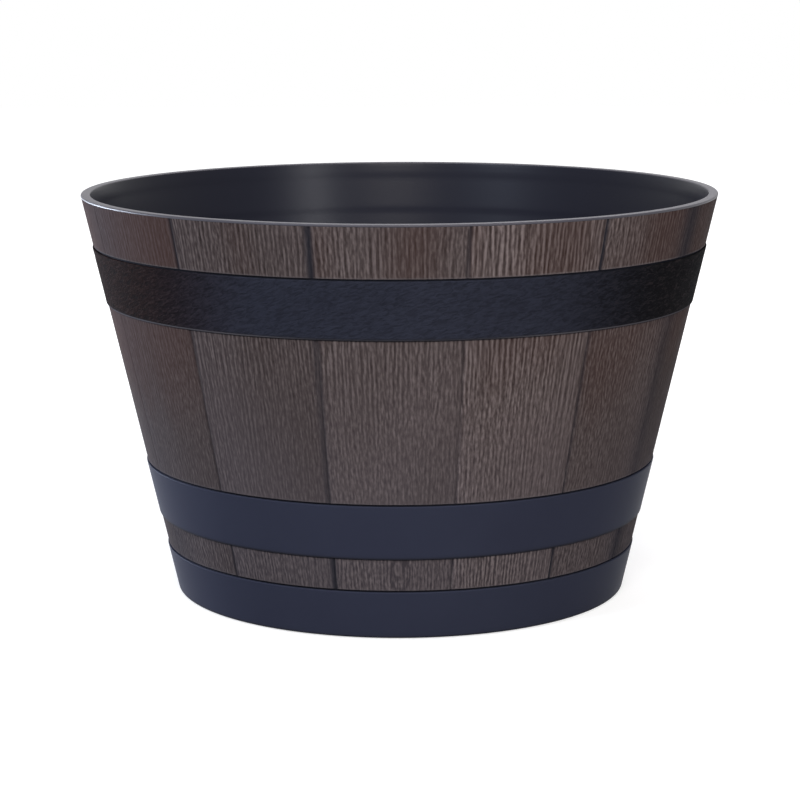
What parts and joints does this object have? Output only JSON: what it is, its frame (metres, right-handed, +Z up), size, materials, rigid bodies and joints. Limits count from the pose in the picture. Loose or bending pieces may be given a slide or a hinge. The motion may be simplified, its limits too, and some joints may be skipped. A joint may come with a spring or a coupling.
{
  "type": "half-barrel planter",
  "caption": "Tapered half-barrel floor planter in resin: a black tub in a jacket of wood-look staves with flat hoops, and rubber plugs in the floor's drain holes.",
  "frame": {"origin": "on the ground at the centre of the planter's foot", "axes": "+Z up along the planter's axis, -Y towards the front that the picture shows, +X to the right of that front"},
  "size_m": [0.5199, 0.52, 0.33],
  "materials": {
    "tub_black": "smooth satin black resin",
    "stave_brown": "matt grey-brown resin moulded with raised wood grain",
    "hoop_hammered": "satin blue-black resin with a fine leathery relief",
    "hoop_smooth": "smooth satin blue-black resin",
    "plug_rubber": "matt black rubber"
  },
  "bodies": {
    "planter": {"inner_tub": "tub_black", "stave_jacket": "stave_brown", "top_hoop": "hoop_hammered", "middle_hoop": "hoop_smooth", "bottom_hoop": "hoop_smooth"},
    "plug_front": {"drain_plug_front": "plug_rubber"},
    "plug_right": {"drain_plug_right": "plug_rubber"},
    "plug_back": {"drain_plug_back": "plug_rubber"},
    "plug_left": {"drain_plug_left": "plug_rubber"}
  },
  "joints": [
    {"name": "plug_front_lift", "type": "slide", "parent": "planter", "child": "plug_front", "axis": [0, 0, 1], "range_m": [0, 0.34]},
    {"name": "plug_right_lift", "type": "slide", "parent": "planter", "child": "plug_right", "axis": [0, 0, 1], "range_m": [0, 0.34]},
    {"name": "plug_back_lift", "type": "slide", "parent": "planter", "child": "plug_back", "axis": [0, 0, 1], "range_m": [0, 0.34]},
    {"name": "plug_left_lift", "type": "slide", "parent": "planter", "child": "plug_left", "axis": [0, 0, 1], "range_m": [0, 0.34]}
  ]
}
